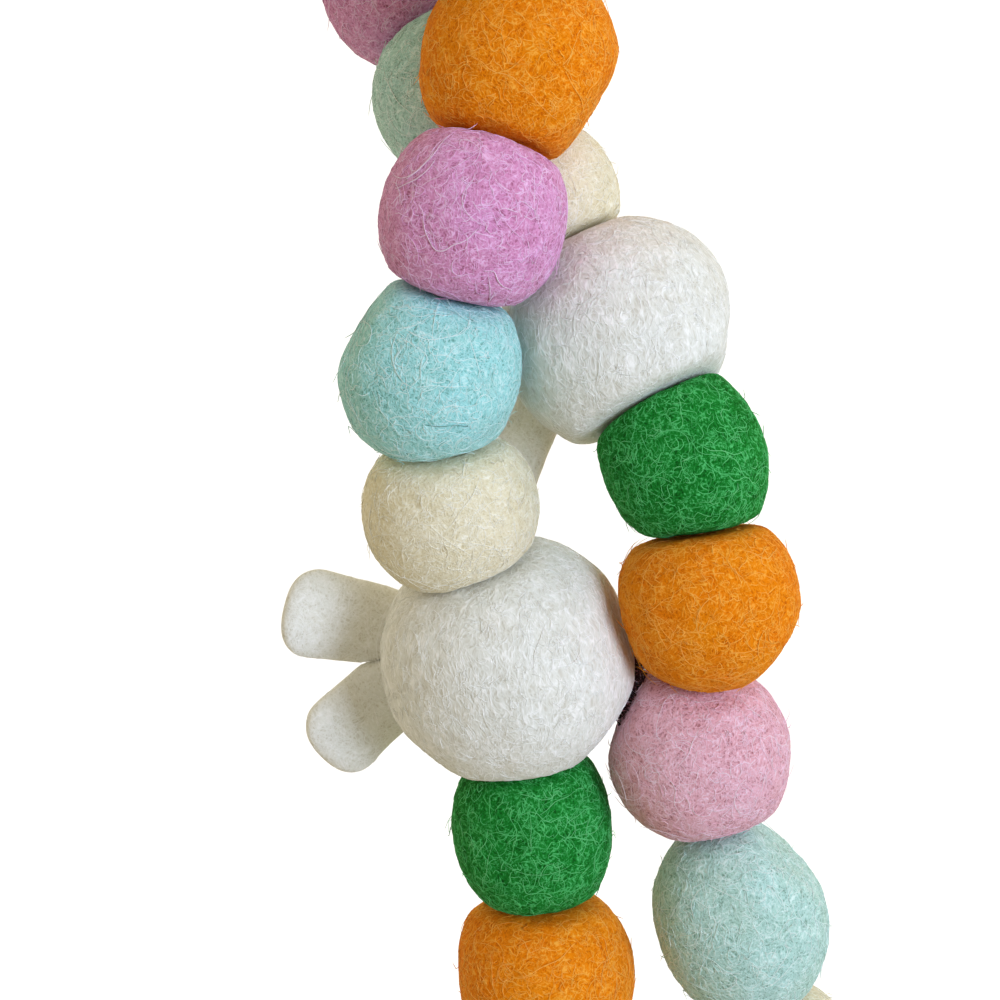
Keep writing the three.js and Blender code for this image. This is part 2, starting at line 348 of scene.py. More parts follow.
@dataclass(frozen=True)
class FeltFinish:
    """How one dyed wool looks once it is felted."""

    name: str
    deep: tuple[int, int, int]  # painted shade in the pits between fibres
    body: tuple[int, int, int]
    pale: tuple[int, int, int]  # painted highlight on the felt's raised fibres, and the colour of pale loose fibres
    warm: tuple[int, int, int]  # the other shade that the dye took
    grain: float = 0.0  # how strongly the fibres run upright
    spread: float = 1.0  # how far apart they lie
    relief: float = 0.1  # how far they stand out, in millimetres
    sheen: float = 0.08
    white_lift: float = 0.4  # how far the palest loose fibres are lifted towards white

    def ways(self) -> list[Vector]:
        """The directions that the layers of fibres run in, spread evenly all round.

        Returns:
            One for each layer.
        """
        golden = (1 + math.sqrt(5)) / 2
        ways = []
        for one in (-1, 1):
            ways += [Vector((0, one, golden)), Vector((one, golden, 0)), Vector((golden, 0, one))]
        upright = Vector((0, 0, self.grain * 2))
        return [(way + upright * (1 if way.z >= 0 else -1)).normalized() for way in ways]

    def felted(self) -> bpy.types.Material:
        """The matted body: curled fibres that cross each other over pits, with painted shade in
        the pits and painted highlight on the raised fibres, besides their bump.

        Returns:
            The material.
        """
        sheet = NodeSheet(f"{self.name}_felted")
        here = sheet.place(0.057)
        curled = sheet.swirled(here, 3.2, 2.2)
        layers = []
        for number, way in enumerate(self.ways()):
            size = self.spread * (0.4 + 0.06 * number)
            layers.append(sheet.streaks(curled, way, size, 6.0, 0.1))
        matted = sum(layers[1:], layers[0])
        blotch = ((sheet.noise(here, 6.0, 2.0) - 0.35) * 2.2).held()
        cloud = sheet.noise(here, 2.4) - 0.5
        fibres = (matted * 0.26 + cloud * 0.45 + 0.07).held()
        dyed = sheet.blend(blotch * 0.55, linear(*self.body), linear(*self.warm))
        # painted shade: the deep colour fills the pits between the fibres
        pit_shaded = sheet.blend((fibres * 2.2 + 0.22).held(), linear(*self.deep), dyed)
        # painted highlight: the raised fibres turn pale
        colour = sheet.blend(((fibres - 0.5) * 1.6).held(), pit_shaded, linear(*self.pale))
        constants = {"Roughness": 0.95, "Sheen Weight": self.sheen, "Sheen Roughness": 0.5,
                     "Specular IOR Level": 0.12}
        return sheet.finish(colour, fibres, self.relief, constants)

    def fibrous(self) -> bpy.types.Material:
        """The loose fibres: each of one tone, a little uneven along its length.

        Returns:
            The material.
        """
        sheet = NodeSheet(f"{self.name}_fibres")
        tone = sheet.value("ShaderNodeAttribute", {"attribute_name": TONE}, {}, "Fac")
        uneven = sheet.noise(sheet.place(0.011), 1.7)
        shade = (tone + (uneven - 0.5) * 0.3).held()
        deep, body, pale = (linear(*dye) for dye in (self.deep, self.body, self.pale))
        # near-black stop: painted shadow for the tangle in the gap between pieces; the darkest
        # traced thread takes it too
        shadow_black = (*(part * 0.12 for part in deep[:3]), 1.0)
        near_white = self.white_lift * 0.92
        bright = (*(part * (1 - self.white_lift) + near_white for part in pale[:3]), 1.0)
        stops = [(0.0, shadow_black), (0.16, shadow_black), (0.24, deep), (0.5, body), (0.82, pale), (1.0, bright)]
        ramp = sheet.add("ShaderNodeValToRGB", {"stops": stops}, {"Fac": shade})
        constants = {"Roughness": 0.8, "Sheen Weight": self.sheen, "Sheen Roughness": 0.4,
                     "Specular IOR Level": 0.2}
        return sheet.finish(ramp.outputs["Color"], None, 0.0, constants)


@dataclass(frozen=True)
class FibreHabit:
    """How one sort of loose fibre lies on the felt, in millimetres."""

    per_mm2: float  # how many start on a square millimetre
    shortest: float
    longest: float
    curl: float  # how much it turns, in radians a millimetre
    radius: float
    rise: float  # how far its middle stands off the felt
    links: int  # straight steps in its length
    free: float = 0.0  # the share that leaves the felt at one end
    leaves: float = 2.2  # how far such an end leaves it at most
    grain: float = 0.0  # how strongly it follows the string's direction
    tones: tuple[float, float] = (0.3, 0.95)


WEB = FibreHabit(0.82, 1.6, 4.4, 1.1, 0.058, 0.08, 5, free=0.04, leaves=1.1, tones=(0.6, 0.95))
LONG = FibreHabit(0.06, 5.0, 11.0, 0.32, 0.055, 0.12, 9, free=0.14, leaves=1.6, tones=(0.8, 1.0))
HEAD_WEB = FibreHabit(0.75, 1.8, 4.0, 0.5, 0.056, 0.07, 3, grain=1.6, tones=(0.45, 1.0))
HEAD_LONG = FibreHabit(0.02, 5.0, 10.0, 0.3, 0.045, 0.16, 8, free=0.12, leaves=1.2,
                       tones=(0.5, 1.0))
EAR_FUZZ = FibreHabit(0.4, 1.2, 2.8, 0.5, 0.036, 0.06, 4, free=0.05, leaves=0.5,
                      tones=(0.5, 0.95))


@dataclass(frozen=True)
class TracedHair:
    """One hair that the photograph shows, by points in its picture of 1000 by 1000."""

    points: tuple[tuple[float, float], ...]
    tone: float = 1.0
    radius: float = 0.09
    rise: float = 0.08  # how far its middle stands off the felt


def smoothed(points: np.ndarray, steps: int) -> np.ndarray:
    """A smooth line through points.

    Args:
        points: Where it passes.
        steps: How many steps it takes between two of them.

    Returns:
        The points of the line.
    """
    padded = np.concatenate([[2 * points[0] - points[1]], points, [2 * points[-1] - points[-2]]])
    line = [points[:1]]
    for p0, p1, p2, p3 in zip(padded, padded[1:], padded[2:], padded[3:]):
        t = np.linspace(0, 1, steps + 1)[1:, None]
        line.append(0.5 * (2 * p1 + (p2 - p0) * t + (2 * p0 - 5 * p1 + 4 * p2 - p3) * t**2
                           + (3 * p1 - p0 - 3 * p2 + p3) * t**3))
    return np.concatenate(line)


def rippled(places: np.ndarray, puckers: tuple[tuple[float, float], ...],
            rng: np.random.Generator) -> np.ndarray:
    """Small dents and swells of matted wool.

    Args:
        places: Where they are read, in millimetres.
        puckers: How far apart each sort is, and how deep.
        rng: What scatters them.

    Returns:
        How far the felt comes out at each place.
    """
    total = np.zeros(len(places))
    for size, depth in puckers:
        waves = unit(rng.normal(size=(WAVES, 3))) * 2 * math.pi / size
        phase = rng.uniform(0, 2 * math.pi, WAVES)
        total += depth * np.sin(places @ waves.T + phase).sum(1) / math.sqrt(WAVES)
    return total


@dataclass
class MeshStock:
    """Points and faces gathered for one mesh, in millimetres."""

    points: list[np.ndarray] = field(default_factory=list)
    tones: list[np.ndarray] = field(default_factory=list)
    faces: list[np.ndarray] = field(default_factory=list)
    places: list[np.ndarray] = field(default_factory=list)
    slots: list[np.ndarray] = field(default_factory=list)
    count: int = 0

    def add(self, points: np.ndarray, tones: np.ndarray | float,
            faces: list[tuple[np.ndarray, np.ndarray]], slot: int) -> None:
        """Adds a part.

        Args:
            points: Its corners.
            tones: The tone of each, or of all.
            faces: Pairs of corner numbers and their places on the map.
            slot: The material slot that it wears.
        """
        self.points.append(points)
        self.tones.append(np.broadcast_to(tones, len(points)))
        for corners, places in faces:
            self.faces.append(corners + self.count)
            self.places.append(places)
            self.slots.append(np.full(len(corners), slot))
        self.count += len(points)

    def triangles(self) -> int:
        """How many triangles the faces make."""
        return sum(len(part) * (part.shape[1] - 2) for part in self.faces)

    def made(self, name: str, materials: list[bpy.types.Material]) -> bpy.types.Object:
        """Makes the object.

        Args:
            name: The piece's name.
            materials: One for each slot.

        Returns:
            The object, linked into the scene.
        """
        mesh = bpy.data.meshes.new(name)
        points = np.concatenate(self.points) * MM
        sizes = np.concatenate([np.full(len(part), part.shape[1]) for part in self.faces])
        corners = np.concatenate([part.ravel() for part in self.faces])
        mesh.vertices.add(len(points))
        mesh.vertices.foreach_set("co", points.astype(np.float32).ravel())
        mesh.loops.add(len(corners))
        mesh.loops.foreach_set("vertex_index", corners.astype(np.int32))
        mesh.polygons.add(len(sizes))
        starts = np.concatenate([[0], np.cumsum(sizes)[:-1]])
        mesh.polygons.foreach_set("loop_start", starts.astype(np.int32))
        mesh.polygons.foreach_set("material_index", np.concatenate(self.slots).astype(np.int32))
        mesh.polygons.foreach_set("use_smooth", np.ones(len(sizes), bool))
        mesh.update(calc_edges=True)
        atlas = mesh.uv_layers.new(name=ATLAS)
        flat = np.concatenate([part.reshape(-1, 2) for part in self.places])
        atlas.uv.foreach_set("vector", flat.astype(np.float32).ravel())
        tone = mesh.attributes.new(TONE, "FLOAT", "POINT")
        tone.data.foreach_set("value", np.concatenate(self.tones).astype(np.float32))
        for material in materials:
            mesh.materials.append(material)
        mesh.validate()
        piece = bpy.data.objects.new(name, mesh)
        bpy.context.scene.collection.objects.link(piece)
        return piece


def stand_for(piece: bpy.types.Object, node: str, triangles: int) -> None:
    """Puts a piece in the place of its node.

    Args:
        piece: The piece.
        node: The node that it stands for.
        triangles: How many it has, for the log.
    """
    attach(piece, BODY)
    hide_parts(node)
    log.info("%s stands for %s with %d triangles", piece.name, node, triangles)


@dataclass
class FibreCoat:
    """The loose fibres over one felted skin."""

    points: np.ndarray  # of the skin, in millimetres
    faces: np.ndarray  # four corners each
    seed: int

    def __post_init__(self) -> None:
        """Prepares the skin for finding the nearest place on it."""
        self.rng = np.random.default_rng(self.seed)
        self.skin = BVHTree.FromPolygons(self.points.tolist(), self.faces.tolist())
        corners = self.points[self.faces]
        across = np.cross(corners[:, 2] - corners[:, 0], corners[:, 3] - corners[:, 1])
        self.areas = np.linalg.norm(across, axis=1) / 2

    def laid(self, points: np.ndarray) -> tuple[np.ndarray, np.ndarray]:
        """Brings points down to the skin.

        Args:
            points: Points near it.

        Returns:
            The nearest places on it, and which way it faces there.
        """
        found = [self.skin.find_nearest(point) for point in points.tolist()]
        places = np.array([hit[0][:] for hit in found])
        return places, np.array([hit[1][:] for hit in found])

    def starts(self, count: int) -> np.ndarray:
        """Scatters places evenly over the skin.

        Args:
            count: How many.

        Returns:
            The places.
        """
        share = self.areas / self.areas.sum()
        corners = self.points[self.faces[self.rng.choice(len(share), count, p=share)]]
        u, v = self.rng.random((2, count, 1))
        low = corners[:, 0] * (1 - u) + corners[:, 1] * u
        high = corners[:, 3] * (1 - u) + corners[:, 2] * u
        return low * (1 - v) + high * v

    def grown(self, habit: FibreHabit, grain: np.ndarray,
              hidden: Callable[[np.ndarray], np.ndarray]) -> dict[str, np.ndarray]:
        """Lets fibres of one habit wander over the skin.

        Args:
            habit: How they lie.
            grain: The direction that they may follow.
            hidden: A function of places that tells where none is needed.

        Returns:
            Their lines, the skin's facing along them, radii and tones.
        """
        rng = self.rng
        start = self.starts(int(habit.per_mm2 * self.areas.sum()))
        start = start[~hidden(start)]
        count = len(start)
        here, facing = self.laid(start)
        sign = np.where(rng.random((count, 1)) < 0.5, -1.0, 1.0)
        heading = rng.normal(size=(count, 3)) + habit.grain * sign * grain
        heading = unit(heading - (heading * facing).sum(1, keepdims=True) * facing)
        length = rng.uniform(habit.shortest, habit.longest, count)
        loose = rng.random(count) < habit.free
        bend = rng.normal(0, habit.curl, count)
        sway = rng.normal(0, habit.curl * 1.4, count)
        phase = rng.uniform(0, 2 * math.pi, count)
        step = (length / habit.links)[:, None]
        line, facings = [here], [facing]
        for link in range(1, habit.links + 1):
            turn = (bend + sway * np.sin(phase + 1.4 * link))[:, None] * step
            turn = np.where(loose[:, None], turn * 0.6, turn)
            side = np.cross(facing, heading)
            heading = heading * np.cos(turn) + side * np.sin(turn)
            here, facing = self.laid(here + heading * step)
            heading = unit(heading - (heading * facing).sum(1, keepdims=True) * facing)
            line.append(here)
            facings.append(facing)
        line, facings = np.stack(line, 1), np.stack(facings, 1)
        along = np.linspace(0, 1, habit.links + 1)
        rise = rng.uniform(0.15, 1, (count, 1)) * habit.rise
        lift = rise * np.sin(math.pi * along) - habit.radius * 0.4
        away = rng.uniform(0.15, 1, (count, 1)) * habit.leaves * along**1.7
        away -= habit.radius * 0.4
        lift = np.where(loose[:, None], away, lift)
        low, high = habit.tones
        return {
            "line": line + facings * lift[..., None],
            "facing": facings,
            "radius": habit.radius * rng.uniform(0.75, 1.25, count),
            "tone": rng.uniform(low, high, count),
        }

    def traced(self, hair: TracedHair, camera: "PhotoCamera") -> dict[str, np.ndarray]:
        """Lays one hair over the skin where the photograph shows it.

        Args:
            hair: Its points in the picture.
            camera: What the picture is seen through.

        Returns:
            The same as grown, for one fibre.
        """
        eye = np.array(camera.eye()[:])
        places, facings = [], []
        for point in smoothed(np.array(hair.points, float), 4):
            ray = camera.ray(point[0], point[1])
            hit, facing, _, _ = self.skin.ray_cast(Vector(eye), ray)
            if hit is None:
                over = (self.points.mean(0) - eye) @ np.array(ray[:])
                hit, facing, _, _ = self.skin.find_nearest(Vector(eye) + ray * over)
            places.append(hit[:])
            facings.append(facing[:])
        facings = np.array(facings)
        rise = np.sin(math.pi * np.linspace(0, 1, len(places))) * hair.rise + hair.radius * 0.5
        return {
            "line": (np.array(places) + facings * rise[:, None])[None],
            "facing": facings[None],
            "radius": np.array([hair.radius]),
            "tone": np.array([hair.tone]),
        }

    def spun(self, stock: MeshStock, fibres: dict[str, np.ndarray], area: Area) -> None:
        """Spins fibres into thin closed three-sided tubes.

        Args:
            stock: Where they are gathered.
            fibres: What grown or traced returned.
            area: Their area of the map, where each has a cell of its own.
        """
        corner, size = area
        line, facing = fibres["line"], fibres["facing"]
        count, stops = line.shape[:2]
        if not count:
            return
        along = unit(np.gradient(line, axis=1))
        side = unit(np.cross(along, facing))
        up = np.cross(side, along)
        swell = 0.55 + 0.45 * np.sin(math.pi * np.linspace(0, 1, stops))
        width = (fibres["radius"][:, None] * swell)[..., None]
        inner = slice(1, stops - 1)
        rings = []
        for corner_of_tube in range(3):
            angle = 2 * math.pi * (corner_of_tube + 0.5) / 3  # a flat side faces up
            way = math.cos(angle) * up + math.sin(angle) * side
            rings.append((line + way * width)[:, inner])
        rings = np.stack(rings, 2)  # fibre, ring, corner
        many = stops - 2
        points = np.concatenate(
            [line[:, :1], rings.reshape(count, many * 3, 3), line[:, -1:]], axis=1
        )
        each = many * 3 + 2
        first = np.arange(count)[:, None] * each
        columns = math.ceil(math.sqrt(count * size[0] / size[1]))
        rows = math.ceil(count / columns)
        cell = np.array([size[0] / columns, size[1] / rows])
        number = np.arange(count)
        origin = np.stack([number % columns, number // columns], 1) * cell + np.array(corner)

        def spot(ring: float, turn: float) -> np.ndarray:
            """A place in each fibre's own cell of the map."""
            inside = np.array([0.08 + 0.84 * ring / (stops - 1), 0.08 + 0.84 * turn / 3])
            return origin + inside * cell

        tips, sides = [], []
        for k in range(3):
            n = (k + 1) % 3
            root = np.concatenate([first, first + 1 + n, first + 1 + k], 1)
            tips.append((root, np.stack([spot(0, k + 0.5), spot(1, k + 1), spot(1, k)], 1)))
            base = 1 + (many - 1) * 3
            tip = np.concatenate([first + each - 1, first + base + k, first + base + n], 1)
            last = stops - 1
            tips.append(
                (tip, np.stack([spot(last, k + 0.5), spot(last - 1, k), spot(last - 1, k + 1)], 1))
            )
            for ring in range(many - 1):
                at, beyond = 1 + ring * 3, 1 + (ring + 1) * 3
                quad = [first + at + k, first + at + n, first + beyond + n, first + beyond + k]
                turned = [spot(ring + 1, k), spot(ring + 1, k + 1),
                          spot(ring + 2, k + 1), spot(ring + 2, k)]
                sides.append((np.concatenate(quad, 1), np.stack(turned, 1)))
        tones = np.repeat(fibres["tone"], each)
        stock.add(points.reshape(-1, 3), tones, tips + sides, FIBRE_SLOT)


def sphere_grid(cells: int) -> tuple[np.ndarray, np.ndarray, np.ndarray]:
    """A ball of six even grids.

    Args:
        cells: How many squares each grid has along a side.

    Returns:
        Unit directions, the four corners of each face, and their places in the unit square.
    """
    steps = np.linspace(-1, 1, cells + 1)
    a, b = np.meshgrid(np.tan(steps * math.pi / 4), np.tan(steps * math.pi / 4), indexing="ij")
    one = np.ones_like(a)
    sides = [(one, a, b), (-one, b, a), (b, one, a), (a, -one, b), (a, b, one), (b, a, -one)]
    directions = np.concatenate([np.stack(side, -1).reshape(-1, 3) for side in sides])
    directions = unit(directions)
    keys = np.round(directions, 7) + 0.0
    _, kept, merged = np.unique(keys, axis=0, return_index=True, return_inverse=True)
    merged = merged.ravel()
    wide = cells + 1
    i, j = np.meshgrid(np.arange(cells), np.arange(cells), indexing="ij")
    near, far = i * wide + j, (i + 1) * wide + j
    quad = np.stack([near, far, far + 1, near + 1], -1).reshape(-1, 4)
    spots = np.stack([quad // wide, quad % wide], -1) / cells
    faces, places = [], []
    for number in range(6):
        origin = np.array([number % 2, number // 2])
        faces.append(merged[quad + number * wide * wide])
        places.append((spots * 0.98 + 0.01 + origin) / np.array([2, 3]))
    return directions[kept], np.concatenate(faces), np.concatenate(places)


@dataclass(frozen=True)
class Contact:
    """A flat that a neighbour pressed, or that the felting left."""

    normal: np.ndarray
    distance: float  # from the middle of the ball, in millimetres
    strung: bool  # whether the string runs on into that neighbour


@dataclass
class FeltBall:
    """A wet-felted wool ball on the string, flattened by its neighbours."""

    name: str
    wool: Wool
    at: tuple[float, float, float]
    radius: float  # across the string
    tall: float = 1.0  # how much longer it is along the string
    flats: tuple[tuple[tuple[float, float, float], float], ...] = ()  # ways, shares of the radius
    swells: tuple[tuple[tuple[float, float, float], float], ...] = ()  # ways, millimetres
    shade: str = ""  # its finish, where it isn't the wool's own
    hairs: tuple[TracedHair, ...] = ()
    shadow_tangle: "ShadowTangle | None" = None
    cells: int = 26  # squares along a side of each of the six grids of its skin
    habits: tuple[FibreHabit, ...] = (WEB, LONG)
    index: int = 0
    contacts: list[Contact] = field(default_factory=list)

    def __post_init__(self) -> None:
        """Sets what the strand fills in later."""
        self.centre = np.array(self.at, float)
        self.axis = np.array([0.0, 0.0, 1.0])
        self.half_height = self.radius * self.tall

    def extent(self, strung: bool) -> float:
        """How far it reaches towards a neighbour, along or across the string."""
        return self.radius * (self.tall if strung else 1.0)

    def pressed_by(self, others: "list[FeltBall]", strung: "list[FeltBall]") -> None:
        """Finds the flats.

        Args:
            others: Every piece of the garland.
            strung: The pieces next to this one on its strand.
        """
        self.contacts = []
        for other in others:
            towards = other.centre - self.centre
            apart = float(np.linalg.norm(towards))
            near = any(other is one for one in strung)
            if other is self or (not near and apart > self.radius + other.radius + REACH):
                continue
            mine, theirs = self.extent(near), other.extent(near)
            share = (apart**2 + mine**2 - theirs**2) / (2 * apart)
            self.contacts.append(Contact(towards / apart, share - GAP / 2, near))
        ends = [contact.distance * SPREAD for contact in self.contacts if contact.strung]
        self.half_height = max([self.radius * self.tall, *ends])
        for towards, out in self.flats:
            normal = np.array(towards) / np.linalg.norm(towards)
            self.contacts.append(Contact(normal, out * self.radius, False))

    def lumps(self, ways: np.ndarray) -> np.ndarray:
        """The unevenness of hand felting.

        Args:
            ways: Unit directions from the middle.

        Returns:
            What the radius is multiplied by in each direction.
        """
        x, y, z = ways.T
        first = np.sin(2.6 * x + 1.9 * y + self.index)
        second = np.sin(3.1 * y - 2.2 * z + 2.3 * self.index)
        third = np.sin(2.8 * z + 2.4 * x + 4.1 * self.index)
        return 1 + LUMP * (first + second + third) / 3

    def reach(self, ways: np.ndarray) -> np.ndarray:
        """How far the felt reaches from its middle.

        Args:
            ways: Unit directions.

        Returns:
            The distance in each direction, in millimetres.
        """
        along = np.abs(ways @ self.axis)
        across = np.sqrt(np.clip(1 - along**2, 0, None))
        full = (across / self.radius) ** BARREL + (along / self.half_height) ** BARREL
        reach = full ** (-1 / BARREL) * self.lumps(ways)
        for towards, by in self.swells:
            way = np.array(towards) / np.linalg.norm(towards)
            reach = reach + by * np.maximum(0, ways @ way) ** TIGHT
        for contact in self.contacts:
            facing = ways @ contact.normal
            pressed = contact.distance / np.maximum(facing, 1e-3)
            near = np.maximum(0, EDGE - np.abs(reach - pressed)) / EDGE
            lesser = np.minimum(reach, pressed) - near**2 * EDGE / 4
            reach = np.where(facing > 1e-3, lesser, reach)
        return reach

    def hidden(self, points: np.ndarray) -> np.ndarray:
        """Tells where a neighbour on the string covers the felt.

        Args:
            points: Places on it.

        Returns:
            True for each that is covered.
        """
        away = points - self.centre
        covered = np.zeros(len(points), bool)
        for contact in self.contacts:
            if contact.strung:
                covered |= away @ contact.normal > contact.distance - 0.35
        return covered

    def mesh(self) -> tuple[MeshStock, np.ndarray, np.ndarray]:
        """The felted body.

        Returns:
            The stock that holds it, its points and its faces.
        """
        ways, faces, places = sphere_grid(self.cells)
        rng = np.random.default_rng(500 + self.index)
        puckers = rippled(ways * self.radius, BALL_PUCKERS, rng)
        points = self.centre + ways * (self.reach(ways) + puckers)[:, None]
        stock = MeshStock()
        stock.add(points, 0.0, [(faces, places * np.array(SKIN_AREA[1]))], SKIN_SLOT)
        return stock, points, faces

    def dress(self, finishes: "dict[str, tuple]", camera: "PhotoCamera") -> None:
        """Makes the piece with its fibres and materials.

        Args:
            finishes: The two materials of each shade of wool.
            camera: What the traced hairs are seen through.
        """
        stock, points, faces = self.mesh()
        coat = FibreCoat(points, faces, 900 + self.index)
        for habit, area in zip(self.habits, (WEB_AREA, LONG_AREA)):
            coat.spun(stock, coat.grown(habit, self.axis, self.hidden), area)
        (left, low), (width, height) = TRACED_AREA
        for number, hair in enumerate(self.hairs):
            each = width / len(self.hairs)
            area = ((left + each * number, low), (each, height))
            coat.spun(stock, coat.traced(hair, camera), area)
        if self.shadow_tangle:
            self.shadow_tangle.spun(coat, stock)
        piece = stock.made(f"felt_{self.name}", list(finishes[self.shade or self.wool.name]))
        stand_for(piece, self.name, stock.triangles())


@dataclass
class RabbitHead(FeltBall):
    """The white ball of a rabbit's head, of finer and straighter wool."""

    cells: int = 44
    habits: tuple[FibreHabit, ...] = (HEAD_WEB, HEAD_LONG)


@dataclass(frozen=True)
class ShadowTangle:
    """Near-black wool loops in the gap where three pieces meet, a painted shadow of that deep
    crevice; they ride with one of them.
    """

    corners: tuple[tuple[float, float, float], ...]  # a chain of points down the gap
    width: float
    loops: int
    seed: int
    stops: int = 9  # points on each loop

    def spun(self, coat: FibreCoat, stock: MeshStock) -> None:
        """Adds its loops to a piece.

        Args:
            coat: What spins them.
            stock: The piece's stock.
        """
        rng = np.random.default_rng(self.seed)
        chain = smoothed(np.array(self.corners, float), 8)
        pick = rng.integers(0, len(chain), self.loops)
        start = chain[pick] + rng.normal(0, self.width * 0.3, (self.loops, 3))
        heading = unit(rng.normal(size=(self.loops, 3)))
        turn = unit(rng.normal(size=(self.loops, 3)))
        line = [start]
        for _ in range(self.stops - 1):
            heading = unit(heading + 0.75 * np.cross(turn, heading))
            back = chain[pick] - line[-1]
            line.append(line[-1] + heading * self.width * 0.35 + back * 0.25)
        fibres = {
            "line": np.stack(line, 1),
            "facing": np.tile(turn[:, None], (1, self.stops, 1)),
            "radius": rng.uniform(0.05, 0.12, self.loops),
            # most loops take tone 0, the near-black painted shadow
            "tone": rng.choice([0.0] * 7 + [0.2, 0.35, 0.9], self.loops),
        }
        coat.spun(stock, fibres, SHADOW_TANGLE_AREA)


@dataclass
class RabbitEar:
    """A flat lobe of white felt that grows out of a head."""

    name: str
    head: str
    side: int  # which side of the plane between the two ears it lies on, along the string
    root: tuple[float, float, float]
    middle: tuple[float, float, float]
    tip: tuple[float, float, float]
    index: int
    root_half_width: float = 5.2
    tip_half_width: float = 6.9
    half_thickness: float = 2.3
    square: float = 2.4  # 2 is round across, and more is squarer
    blunt: float = 0.79  # the share of its length past which it closes
    rings: int = 44
    sides: int = 48

    def bend(self, t: np.ndarray, centre: np.ndarray) -> tuple[np.ndarray, np.ndarray]:
        """The middle line of the ear.

        Args:
            t: Places on it, from 0 at the root to 1 at the tip.
            centre: The middle of the head.

        Returns:
            Points on it, and the way that it runs there.
        """
        root, middle, tip = (np.array(p) + centre for p in (self.root, self.middle, self.tip))
        t = t[:, None]
        points = root * (1 - t) ** 2 + middle * 2 * t * (1 - t) + tip * t**2
        return points, unit((middle - root) * (1 - t) + (tip - middle) * t)

    def lobe(self, head: FeltBall, middle: np.ndarray) -> tuple[np.ndarray, np.ndarray]:
        """The rings of points round the lobe.

        Args:
            head: The head that it grows out of.
            middle: A point on the plane between the two ears.

        Returns:
            The points of the rings in order, then the two that close its ends.
        """
        t = 1 - (1 - np.linspace(0, 1, self.rings)) ** 1.6
        t[-1] = 0.9995
        line, along = self.bend(t, head.centre)
        broad = unit(head.axis - (along @ head.axis)[:, None] * along)
        flat = np.cross(along, broad)
        past = np.maximum(0, (t - self.blunt) / (1 - self.blunt))
        close = (1 - past**self.square) ** (1 / self.square)
        wide = (self.root_half_width + (self.tip_half_width - self.root_half_width) * t) * close
        angle = 2 * math.pi * np.arange(self.sides) / self.sides
        power = 2 / self.square
        x = np.sign(np.cos(angle)) * np.abs(np.cos(angle)) ** power
        y = np.sign(np.sin(angle)) * np.abs(np.sin(angle)) ** power
        points = (line[:, None] + broad[:, None] * (wide[:, None] * x)[..., None]
                  + flat[:, None] * ((self.half_thickness * close)[:, None] * y)[..., None])
        points = points.reshape(-1, 3)
        upward = head.axis * (self.side * math.copysign(1, head.axis[2]))
        short = GAP / 2 - (points - middle) @ upward
        points = points + np.maximum(0, short)[:, None] * upward
        rng = np.random.default_rng(700 + self.index)
        for size, depth in EAR_PUCKERS:
            waves = unit(rng.normal(size=(WAVES, 3))) * 2 * math.pi / size
            phase = rng.uniform(0, 6.28, WAVES)  # the ears' ripples start within 6.28, not 2 pi
            swell = np.sin(points @ waves.T + phase).sum(1) / math.sqrt(WAVES)
            out = unit(points - np.repeat(line, self.sides, 0))
            points = points + (swell * depth)[:, None] * out
        return points, np.stack([line[0], line[-1] + along[-1] * 0.02])

    def mesh(self, head: FeltBall, middle: np.ndarray) -> tuple[MeshStock, np.ndarray, np.ndarray]:
        """The felted lobe.

        Args:
            head: The head that it grows out of.
            middle: A point on the plane between the two ears.

        Returns:
            The stock that holds it, its points and its faces.
        """
        points, ends = self.lobe(head, middle)
        i, j = np.meshgrid(np.arange(self.rings - 1), np.arange(self.sides), indexing="ij")
        n = (j + 1) % self.sides
        quads = np.stack([i * self.sides + j, i * self.sides + n,
                          (i + 1) * self.sides + n, (i + 1) * self.sides + j], -1).reshape(-1, 4)
        u = np.stack([i, i, i + 1, i + 1], -1).reshape(-1, 4) / (self.rings - 1)
        v = np.stack([j, j + 1, j + 1, j], -1).reshape(-1, 4) / self.sides
        spots = np.stack([u * 0.56 + 0.02, v * 0.98 + 0.01], -1)
        k = np.arange(self.sides)
        n = (k + 1) % self.sides
        count = self.rings * self.sides
        last = (self.rings - 1) * self.sides
        foot = np.stack([np.full_like(k, count), n, k], -1)
        top = np.stack([np.full_like(k, count + 1), last + k, last + n], -1)
        foot_spots = np.stack([np.stack([0 * k, k + 0.5], -1), np.stack([0 * k + 1, k + 1], -1),
                               np.stack([0 * k + 1, k], -1)], 1) / np.array([50, self.sides])
        top_spots = foot_spots[:, [0, 2, 1]] * np.array([-1, 1]) + np.array([0.6, 0])
        stock = MeshStock()
        faces = [(quads, spots), (foot, foot_spots), (top, top_spots)]
        stock.add(np.concatenate([points, ends]), 0.0, faces, SKIN_SLOT)
        return stock, points, quads

    def dress(self, head: FeltBall, middle: np.ndarray, finishes: "dict[str, tuple]") -> None:
        """Makes the piece with its fuzz and materials.

        Args:
            head: The head that it grows out of.
            middle: A point on the plane between the two ears.
            finishes: The two materials of each shade of wool.
        """
        stock, points, quads = self.mesh(head, middle)
        coat = FibreCoat(points, quads, 950 + self.index)

        def hidden(places: np.ndarray) -> np.ndarray:
            """True for each place where the head covers the ear."""
            away = places - head.centre
            return np.linalg.norm(away, axis=1) < head.reach(unit(away)) + 0.2

        fibres = coat.grown(EAR_FUZZ, unit(np.array(self.tip) - np.array(self.root)), hidden)
        coat.spun(stock, fibres, FUZZ_AREA)
        piece = stock.made(f"felt_{self.name}", list(finishes["EAR"]))
        stand_for(piece, self.name, stock.triangles())


